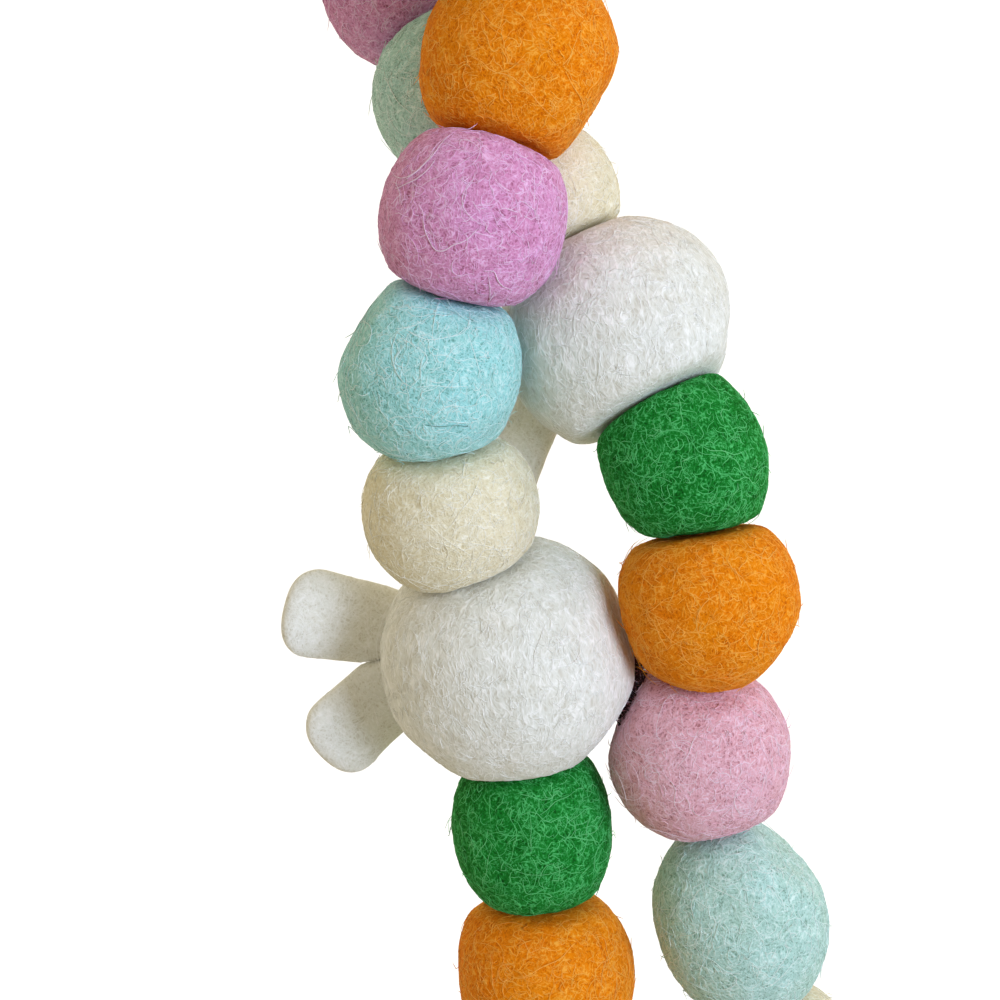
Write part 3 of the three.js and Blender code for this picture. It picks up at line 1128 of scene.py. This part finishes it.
@dataclass(frozen=True)
class StringFinish:
    """Undyed cotton string, twisted from three plies."""

    body: tuple[int, int, int] = (228, 222, 204)
    deep: tuple[int, int, int] = (168, 156, 130)
    pale: tuple[int, int, int] = (244, 240, 228)

    def material(self) -> bpy.types.Material:
        """Fine lengthwise hairs over an uneven off-white.

        Returns:
            The material.
        """
        sheet = NodeSheet("cotton_string")
        here = sheet.place(0.003)
        hairs = sheet.streaks(here, Vector((0, 0, 1)), 0.35, 5.0, 0.12)
        blotch = sheet.noise(here, 1.4, 2.0)
        dyed = sheet.blend(blotch, linear(*self.deep), linear(*self.body))
        colour = sheet.blend(hairs * 0.5, dyed, linear(*self.pale))
        constants = {"Roughness": 0.85, "Sheen Weight": 0.2, "Specular IOR Level": 0.25}
        return sheet.finish(colour, hairs, 0.04, constants)


@dataclass
class GarlandString:
    """The string: a core through every piece, and twisted plies where it is bare."""

    balls: "list[FeltBall]"
    before: int  # how many pieces come before the bend
    bend: tuple[tuple[float, float, float], ...]
    core: float = 0.36  # the radius of its core
    ply: float = 0.3  # the radius of each ply
    pitch: float = 3.2  # along the string for one turn of the plies
    core_sides: int = 6
    ply_sides: int = 8
    route_steps: int = 25  # between two points that it passes
    turn_steps: int = 14  # in one turn of the plies

    def end(self, ball: FeltBall, beyond: float) -> np.ndarray:
        """A point on the string, outside the first or the last piece.

        Args:
            ball: That piece.
            beyond: How far past its felt.

        Returns:
            The point.
        """
        outward = ball.axis * (-1 if ball is self.balls[0] else 1)
        return ball.centre + outward * (ball.reach(outward[None])[0] + beyond)

    def route(self) -> np.ndarray:
        """The way of the whole string, from one tail to the other.

        Returns:
            Close points along it.
        """
        first, last = self.balls[0], self.balls[-1]
        through = [
            self.end(first, TAIL),
            *[ball.centre for ball in self.balls[: self.before]],
            *[np.array(point, float) for point in self.bend],
            *[ball.centre for ball in self.balls[self.before :]],
            self.end(last, TAIL),
        ]
        through = np.array(through)
        padded = np.concatenate([[2 * through[0] - through[1]], through,
                                 [2 * through[-1] - through[-2]]])
        line = [through[:1]]
        for i in range(len(through) - 1):
            p0, p1, p2, p3 = padded[i : i + 4]
            t1, t2, t3 = np.cumsum([np.linalg.norm(b - a) ** 0.5
                                    for a, b in ((p0, p1), (p1, p2), (p2, p3))])
            t = np.linspace(t1, t2, self.route_steps + 1)[1:, None]
            a1 = p0 * (t1 - t) / t1 + p1 * t / t1
            a2 = p1 * (t2 - t) / (t2 - t1) + p2 * (t - t1) / (t2 - t1)
            a3 = p2 * (t3 - t) / (t3 - t2) + p3 * (t - t2) / (t3 - t2)
            b1 = a1 * (t2 - t) / t2 + a2 * t / t2
            b2 = a2 * (t3 - t) / (t3 - t1) + a3 * (t - t1) / (t3 - t1)
            line.append(b1 * (t2 - t) / (t2 - t1) + b2 * (t - t1) / (t2 - t1))
        return np.concatenate(line)

    def spaced(self, line: np.ndarray, step: float) -> np.ndarray:
        """Spaces the points of a line evenly.

        Args:
            line: Its points.
            step: About how far apart they are to be.

        Returns:
            The new points.
        """
        along = np.concatenate([[0], np.cumsum(np.linalg.norm(np.diff(line, axis=0), axis=1))])
        at = np.linspace(0, along[-1], max(3, int(along[-1] / step)))
        return np.stack([np.interp(at, along, line[:, k]) for k in range(3)], 1)

    def frames(self, line: np.ndarray) -> tuple[np.ndarray, np.ndarray]:
        """Directions across a line that turn no more than it does.

        Args:
            line: Its points.

        Returns:
            Two for each point, at right angles.
        """
        along = unit(np.gradient(line, axis=0))
        side = unit(np.cross(along[0], [0.31, 0.87, 0.12])[None])[0]
        sides = []
        for way in along:
            side = side - (side @ way) * way
            side = side / np.linalg.norm(side)
            sides.append(side)
        sides = np.array(sides)
        return sides, np.cross(along, sides)

    def tube(self, stock: MeshStock, line: np.ndarray, radius: float, sides: int) -> None:
        """Adds a closed tube with rounded ends.

        Args:
            stock: Where it is gathered.
            line: The line that it follows.
            radius: Its radius.
            sides: How many sides it has.
        """
        one, two = self.frames(line)
        many = len(line)
        swell = np.full(many, radius)
        swell[0] = swell[-1] = radius * 0.55
        angle = 2 * math.pi * np.arange(sides) / sides
        rings = (line[:, None]
                 + (one[:, None] * np.cos(angle)[None, :, None]
                    + two[:, None] * np.sin(angle)[None, :, None]) * swell[:, None, None])
        ends = np.stack([line[0] - unit((line[1] - line[0])[None])[0] * radius * 0.5,
                         line[-1] + unit((line[-1] - line[-2])[None])[0] * radius * 0.5])
        points = np.concatenate([rings.reshape(-1, 3), ends])
        i, j = np.meshgrid(np.arange(many - 1), np.arange(sides), indexing="ij")
        n = (j + 1) % sides
        quads = np.stack([i * sides + j, i * sides + n, (i + 1) * sides + n,
                          (i + 1) * sides + j], -1).reshape(-1, 4)
        u = np.stack([i, i, i + 1, i + 1], -1).reshape(-1, 4) / many
        v = np.stack([j, j + 1, j + 1, j], -1).reshape(-1, 4) / sides
        k = np.arange(sides)
        n = (k + 1) % sides
        foot = np.stack([np.full_like(k, many * sides), n, k], -1)
        top = np.stack([np.full_like(k, many * sides + 1), (many - 1) * sides + k,
                        (many - 1) * sides + n], -1)
        blank = np.zeros((sides, 3, 2))
        places = np.stack([u, v], -1)
        stock.add(points, 0.0, [(quads, places), (foot, blank), (top, blank)], SKIN_SLOT)

    def twisted(self, stock: MeshStock, line: np.ndarray) -> None:
        """Adds three plies wound round each other.

        Args:
            stock: Where they are gathered.
            line: The line that they follow.
        """
        line = self.spaced(line, self.pitch / self.turn_steps)
        one, two = self.frames(line)
        along = np.concatenate([[0], np.cumsum(np.linalg.norm(np.diff(line, axis=0), axis=1))])
        for number in range(3):
            turn = 2 * math.pi * (along / self.pitch + number / 3)
            out = STRING_RADIUS - self.ply
            wound = line + out * (one * np.cos(turn)[:, None] + two * np.sin(turn)[:, None])
            self.tube(stock, wound, self.ply, self.ply_sides)

    def knot(self, ball: FeltBall) -> np.ndarray:
        """The overhand knot that keeps an end piece on.

        Args:
            ball: The piece.

        Returns:
            Points along its loops.
        """
        centre = self.end(ball, GAP + KNOT_RADIUS)
        one, two = self.frames(np.stack([centre - ball.axis, centre, centre + ball.axis]))
        t = np.linspace(0, 2 * math.pi, 90)
        x = (np.sin(t) + 2 * np.sin(2 * t)) / 3
        y = (np.cos(t) - 2 * np.cos(2 * t)) / 3
        z = -np.sin(3 * t)
        size = KNOT_RADIUS - STRING_RADIUS
        return centre + size * (one[1] * x[:, None] + two[1] * y[:, None]
                                + 0.75 * ball.axis * z[:, None])

    def bare(self, line: np.ndarray) -> list[np.ndarray]:
        """Finds the stretches that no felt covers, with a little more at each end.

        Args:
            line: Points along the string.

        Returns:
            The points of each stretch.
        """
        inside = np.zeros(len(line), bool)
        for ball in self.balls:
            away = line - ball.centre
            inside |= np.linalg.norm(away, axis=1) < ball.reach(unit(away)) - 1.2
        turns = np.flatnonzero(np.diff(inside.astype(int))) + 1
        stretches = np.split(line, turns)
        outside = np.split(~inside, turns)
        return [one for one, free in zip(stretches, outside)
                if free[0] and np.linalg.norm(one[-1] - one[0]) > 4 * STRING_RADIUS + 2]

    def dress(self, finish: StringFinish) -> None:
        """Makes the piece and its material.

        Args:
            finish: How the string looks.
        """
        stock = MeshStock()
        line = self.route()
        self.tube(stock, self.spaced(line, 1.6), self.core, self.core_sides)
        for end in (self.balls[0], self.balls[-1]):
            self.twisted(stock, self.knot(end))
        for stretch in self.bare(line):
            self.twisted(stock, stretch)
        piece = stock.made("twisted_string", [finish.material()])
        stand_for(piece, "string", stock.triangles())


@dataclass(frozen=True)
class PhotoCamera:
    """The camera, a little above the garland and leaning to one side."""

    pitch: float = 15.0  # degrees below level
    roll: float = 9.0
    distance: float = 400.0
    aim: tuple[float, float, float] = (-8.0, -10.0, -112.0)
    lens: float = 100.8

    def axes(self) -> tuple[Vector, Vector, Vector]:
        """Works out how the picture stands.

        Returns:
            The picture's right, its up, and the way the camera looks.
        """
        pitch, roll = math.radians(self.pitch), math.radians(self.roll)
        ahead = Vector((0, math.cos(pitch), -math.sin(pitch)))
        level, upright = Vector((1, 0, 0)), Vector((0, math.sin(pitch), math.cos(pitch)))
        right = level * math.cos(roll) - upright * math.sin(roll)
        return right, level * math.sin(roll) + upright * math.cos(roll), ahead

    def eye(self) -> Vector:
        """Where the camera stands, in millimetres."""
        return Vector(self.aim) - self.axes()[2] * self.distance

    def ray(self, x: float, y: float) -> Vector:
        """The way from the camera through a point of its picture of 1000 by 1000.

        Args:
            x: How far the point is from the left.
            y: How far it is from the top.

        Returns:
            A unit direction.
        """
        right, up, ahead = self.axes()
        scale = SENSOR / (1000 * self.lens)
        return (ahead + right * (x - 500) * scale + up * (500 - y) * scale).normalized()

    def place(self) -> None:
        """Makes the camera and gives it to the scene."""
        right, up, ahead = self.axes()
        data = bpy.data.cameras.new("photo_camera")
        data.lens, data.sensor_width = self.lens, SENSOR
        data.clip_start, data.clip_end = 0.01, 100.0
        camera = bpy.data.objects.new("photo_camera", data)
        turned = Matrix((right, up, -ahead)).transposed().to_4x4()
        camera.matrix_world = Matrix.Translation(self.eye() * MM) @ turned
        bpy.context.scene.collection.objects.link(camera)
        bpy.context.scene.camera = camera


@dataclass(frozen=True)
class Lamp:
    """One square soft light beside the camera."""

    name: str
    side: float  # degrees to the right of the camera
    distance: float  # from the garland, in metres
    size: float  # in metres
    power: float  # in watts
    colour: tuple[float, float, float]
    above: float = 2.0  # degrees above the camera

    def place(self, camera: PhotoCamera) -> None:
        """Makes the light.

        Args:
            camera: The camera that it stands beside.
        """
        right, up, ahead = camera.axes()
        side, above = math.radians(self.side), math.radians(self.above)
        towards = (right * math.sin(side) - ahead * math.cos(side)) * math.cos(above)
        towards += up * math.sin(above)
        data = bpy.data.lights.new(self.name, "AREA")
        data.energy, data.size, data.color = self.power, self.size, self.colour
        lamp = bpy.data.objects.new(self.name, data)
        lamp.location = Vector(camera.aim) * MM + towards.normalized() * self.distance
        lamp.rotation_mode = "QUATERNION"
        lamp.rotation_quaternion = towards.to_track_quat("Z", "Y")
        bpy.context.scene.collection.objects.link(lamp)


@dataclass(frozen=True)
class Studio:
    """A plain pale floor far below, and light that is cool from one side and warm elsewhere."""

    floor_height: float = -0.62
    floor_size: float = 24.0
    lamps: tuple[Lamp, ...] = (
        Lamp("cool_key", 36.0, 1.2, 0.5, 12.2, (0.7, 0.8, 1.0)),
        Lamp("soft_fill", -12.0, 1.5, 1.1, 2.9, (1.0, 0.9, 0.75)),
    )
    before: tuple[float, float, float, float] = (0.16, 0.14, 0.09, 1)  # light from the front
    behind: tuple[float, float, float, float] = (1.16, 1.04, 0.81, 1)  # light from the back

    def floor(self) -> None:
        """Makes the floor, which the camera sees and no light bounces off."""
        mesh = bpy.data.meshes.new("pale_floor")
        half, height = self.floor_size / 2, self.floor_height
        corners = [(-half, -half, height), (half, -half, height), (half, half, height),
                   (-half, half, height)]
        mesh.from_pydata(corners, [], [(0, 1, 2, 3)])
        sheet = NodeSheet("pale_floor")
        cloud = sheet.noise(sheet.place(0.0), 900.0)
        colour = sheet.blend(cloud, (0.34, 0.34, 0.34, 1), (0.38, 0.38, 0.38, 1))
        glow = {"Roughness": 0.9, "Emission Color": (1.0, 1.0, 1.0, 1), "Emission Strength": 0.92}
        mesh.materials.append(sheet.finish(colour, None, 0.0, glow))
        floor = bpy.data.objects.new("pale_floor", mesh)
        bpy.context.scene.collection.objects.link(floor)
        floor.visible_diffuse = floor.visible_glossy = floor.visible_shadow = False

    def surroundings(self) -> None:
        """Lights the garland from all round, and shows white behind it."""
        world = bpy.data.worlds.new("studio")
        bpy.context.scene.world = world
        world.use_nodes = True
        tree = world.node_tree
        tree.nodes.clear()
        seen = tree.nodes.new("ShaderNodeLightPath").outputs["Is Camera Ray"]
        dim = tree.nodes.new("ShaderNodeBackground")
        way = tree.nodes.new("ShaderNodeSeparateXYZ")
        tree.links.new(tree.nodes.new("ShaderNodeTexCoord").outputs["Generated"], way.inputs[0])
        ramp = tree.nodes.new("ShaderNodeValToRGB")
        half = tree.nodes.new("ShaderNodeMath")
        half.operation = "MULTIPLY_ADD"
        half.inputs[1].default_value = half.inputs[2].default_value = 0.5
        tree.links.new(way.outputs["Y"], half.inputs[0])
        tree.links.new(half.outputs[0], ramp.inputs[0])
        ramp.color_ramp.elements[0].color = self.before
        ramp.color_ramp.elements[1].color = self.behind
        tree.links.new(ramp.outputs[0], dim.inputs["Color"])
        white = tree.nodes.new("ShaderNodeBackground")
        white.inputs["Color"].default_value = (1, 1, 1, 1)
        mixed = tree.nodes.new("ShaderNodeMixShader")
        tree.links.new(seen, mixed.inputs["Fac"])
        tree.links.new(dim.outputs[0], mixed.inputs[1])
        tree.links.new(white.outputs[0], mixed.inputs[2])
        output = tree.nodes.new("ShaderNodeOutputWorld")
        tree.links.new(mixed.outputs[0], output.inputs["Surface"])

    def set_up(self, camera: PhotoCamera) -> None:
        """Makes the floor, the surroundings and the lights.

        Args:
            camera: The camera that the lights stand beside.
        """
        for lamp in self.lamps:
            lamp.place(camera)
        self.floor()
        self.surroundings()
        bpy.context.scene.view_settings.view_transform = "Standard"


FINISHES = {
    "ORANGE": FeltFinish("orange", (190, 82, 0), (238, 136, 0), (255, 186, 76), (226, 108, 0),
                         sheen=0.0, white_lift=0.04),
    "GREEN": FeltFinish("green", (0, 46, 2), (20, 128, 42), (92, 204, 120), (10, 94, 20),
                        sheen=0.0, white_lift=0.08),
    "PINK": FeltFinish("lilac", (138, 62, 94), (218, 148, 198), (248, 204, 244), (206, 130, 166)),
    "ROSE": FeltFinish("rose", (150, 86, 92), (230, 176, 192), (250, 218, 236), (214, 150, 158)),
    "AQUA": FeltFinish("aqua", (84, 142, 130), (158, 222, 224), (216, 248, 248), (150, 204, 192)),
    "MIST": FeltFinish("mist", (98, 134, 116), (178, 219, 212), (228, 250, 246), (168, 200, 180)),
    "CREAM": FeltFinish("cream", (204, 190, 150), (234, 226, 197), (254, 251, 236),
                        (226, 214, 176)),
    "WHITE": FeltFinish("white", (200, 196, 182), (229, 231, 225), (255, 255, 253),
                        (221, 217, 203), grain=1.4, spread=1.5, relief=0.09),
    "EAR": FeltFinish("ear", (208, 204, 190), (240, 241, 236), (255, 255, 253), (230, 227, 214),
                      spread=1.1, relief=0.06),
}

# The stray hairs that stand out on the lilac ball, the front head and the front aqua ball
LILAC_HAIRS = (
    TracedHair(((392.8, 174.6), (401.7, 178.5), (413.2, 174.6), (424.6, 164.4), (433.6, 155.5),
                (442.5, 142.8), (451.4, 133.8))),
    TracedHair(((394, 190), (405.5, 184.8), (418.3, 178.5), (428.5, 169.5), (436.1, 159.3))),
    TracedHair(((404, 181), (416, 173), (427, 162), (435, 150))),
    TracedHair(((423.4, 219.3), (425.9, 232), (434.8, 248.6), (443.8, 250.5), (454, 244.8),
                (466.7, 239.7), (478.2, 228.2))),
    TracedHair(((482, 271), (493.5, 271), (497.3, 279.2), (502.4, 285.6), (514, 290.7))),
    TracedHair(((488, 272), (490, 290), (489, 303)), radius=0.06),
)
HEAD_HAIRS = (
    TracedHair(((386, 598), (380, 612), (378, 634), (380, 656), (385, 680)),
               tone=0.9, radius=0.06, rise=0.6),
    TracedHair(((396, 604), (410, 597), (424, 600)), tone=0.5, radius=0.05),
)
AQUA_HAIRS = (
    TracedHair(((424, 425), (440, 426), (456, 425), (471, 427)), tone=0.2, radius=0.05, rise=0.1),
    TracedHair(((352, 330), (364, 322), (372, 330), (368, 344), (356, 346)), radius=0.06),
    TracedHair(((400, 326), (392, 352), (400, 378), (420, 392)), radius=0.06),
)

# The pieces in the order of the string, from the front strand's foot up to the bend
BEFORE_BEND = [
    FeltBall("ball_orange_low", Wool.ORANGE, (-12.2, -16.6, -182.4), 12.9, 1.05,
             swells=(((-0.64, 0.2, 0.74), 0.8),)),
    FeltBall("ball_green_low", Wool.GREEN, (-10.8, -15.7, -159.8), 11.6, 1.2),
    RabbitHead("head_front", Wool.WHITE, (-10.4, -15, -134.3), 18.35, 0.965,
               flats=(((0.69, -0.19, -0.7), 0.96), ((-0.73, -0.18, -0.66), 0.985)),
               swells=(((0.86, -0.13, -0.47), 0.7),), hairs=HEAD_HAIRS),
    FeltBall("ball_cream_front", Wool.CREAM, (-15, -18.3, -109.9), 12.4, 0.94),
    FeltBall("ball_aqua_front", Wool.AQUA, (-14.7, -20, -89.4), 12.55, 1.07,
             flats=(((-0.72, 0, 0.68), 0.905),), hairs=AQUA_HAIRS),
    FeltBall("ball_pink_front", Wool.PINK, (-5.6, -20.5, -69.5), 12.7, 1.03, hairs=LILAC_HAIRS),
    FeltBall("ball_orange_front", Wool.ORANGE, (3.8, -13.1, -50.8), 13.4, 1.05,
             flats=(((0.75, -0.2, -0.65), 0.89),)),
    FeltBall("ball_green_top", Wool.GREEN, (4.8, -11, -30.4), 11.8),
]
# And from the bend down to the other strand's foot
AFTER_BEND = [
    FeltBall("ball_orange_top", Wool.ORANGE, (-5, 16, -20), 12.2),
    FeltBall("ball_pink_back", Wool.PINK, (-9.4, 22.2, -39.8), 12.75, 1.04),
    FeltBall("ball_aqua_back", Wool.AQUA, (-4, 8.1, -56.8), 13, 1.01, shade="MIST"),
    FeltBall("ball_cream_back", Wool.CREAM, (4.5, -0.5, -71.2), 11),
    RabbitHead("head_back", Wool.WHITE, (12.1, -9.1, -90.9), 16.55, 0.97,
               flats=(((0.97, -0.1, -0.25), 0.93),), swells=(((0.84, 0.14, 0.52), 0.7),)),
    FeltBall("ball_green_right", Wool.GREEN, (18.2, -17.4, -107.7), 11.6, 1.17,
             flats=(((0.79, 0.16, 0.58), 1.065),), swells=(((0.64, -0.2, -0.74), 0.5),)),
    FeltBall("ball_orange_right", Wool.ORANGE, (18.7, -21.4, -128.1), 12.9, 0.97,
             flats=(((0.7, -0.1, -0.7), 0.94),)),
    FeltBall("ball_pink_right", Wool.PINK, (14.6, -17.7, -151.6), 13, 0.96,
             swells=(((-0.58, 0.21, 0.77), 1.6), ((0.64, -0.2, -0.74), 0.9)), shade="ROSE",
             # near-black loops, painted as the shadow in the gap between the front head, the right
             # orange ball and this one
             shadow_tangle=ShadowTangle(((7.3, -15.6, -136.4), (7.0, -16.4, -138.6), (6.2, -17.0, -141.2),
                            (4.6, -17.4, -144.2)), 2.2, 360, 41)),
    FeltBall("ball_aqua_right", Wool.AQUA, (17.3, -18.2, -177.6), 12.6, 1.21,
             flats=(((0.75, -0.1, 0.65), 0.915),), shade="MIST"),
    FeltBall("ball_cream_right", Wool.CREAM, (18.9, -16.9, -203), 12.95, 1.02),
]
BEND = ((6, -10.6, -14), (5.2, -9.6, -7.5), (3.2, -6, -2.2), (0, 0, -STRING_RADIUS),
        (-2.2, 5.8, -1.8), (-3.2, 10.6, -5.2))
EARS = [
    RabbitEar("ear_front_upper", "head_front", 1, (-7.5, 11, 0.6), (-19.5, 12.6, 5),
              (-30.8, 6.8, 10.8), 0),
    RabbitEar("ear_front_lower", "head_front", -1, (-7.5, 11, -0.3), (-18.9, 11.4, -5),
              (-29.3, 6.4, -12.4), 1),
    RabbitEar("ear_back_upper", "head_back", 1, (-7.3, 7, -1.8), (-18, 10.5, -1.8),
              (-29.8, 13, -0.1), 2),
    RabbitEar("ear_back_lower", "head_back", -1, (-9, 7, -4.3), (-17.2, 8.5, -13.6),
              (-22.8, 9.2, -24.8), 3),
]


def string_up() -> "list[FeltBall]":
    """Tells each piece its place on the string and what presses on it.

    Returns:
        All pieces in the order of the string.
    """
    balls = [*BEFORE_BEND, *AFTER_BEND]
    for index, ball in enumerate(balls):
        ball.index = index
    for strand in (BEFORE_BEND, AFTER_BEND):
        for place, ball in enumerate(strand):
            before, after = strand[max(0, place - 1)], strand[min(len(strand) - 1, place + 1)]
            ball.axis = unit((after.centre - before.centre)[None])[0]
            ball.pressed_by(balls, [one for one in (before, after) if one is not ball])
    return balls


def main() -> None:
    """Builds the garland piece by piece, with its camera, floor and light."""
    logging.basicConfig(level=logging.INFO, format="%(message)s")
    camera = PhotoCamera()
    camera.place()
    balls = string_up()
    finishes = {name: (one.felted(), one.fibrous()) for name, one in FINISHES.items()}
    for ball in balls:
        ball.dress(finishes, camera)
    for ear in EARS:
        head = next(ball for ball in balls if ball.name == ear.head)
        pair = [np.array(one.middle, float) for one in EARS if one.head == ear.head]
        ear.dress(head, head.centre + sum(pair) / len(pair), finishes)
    GarlandString(balls, len(BEFORE_BEND), BEND).dress(StringFinish())
    Studio().set_up(camera)


if __name__ == "__main__":
    main()
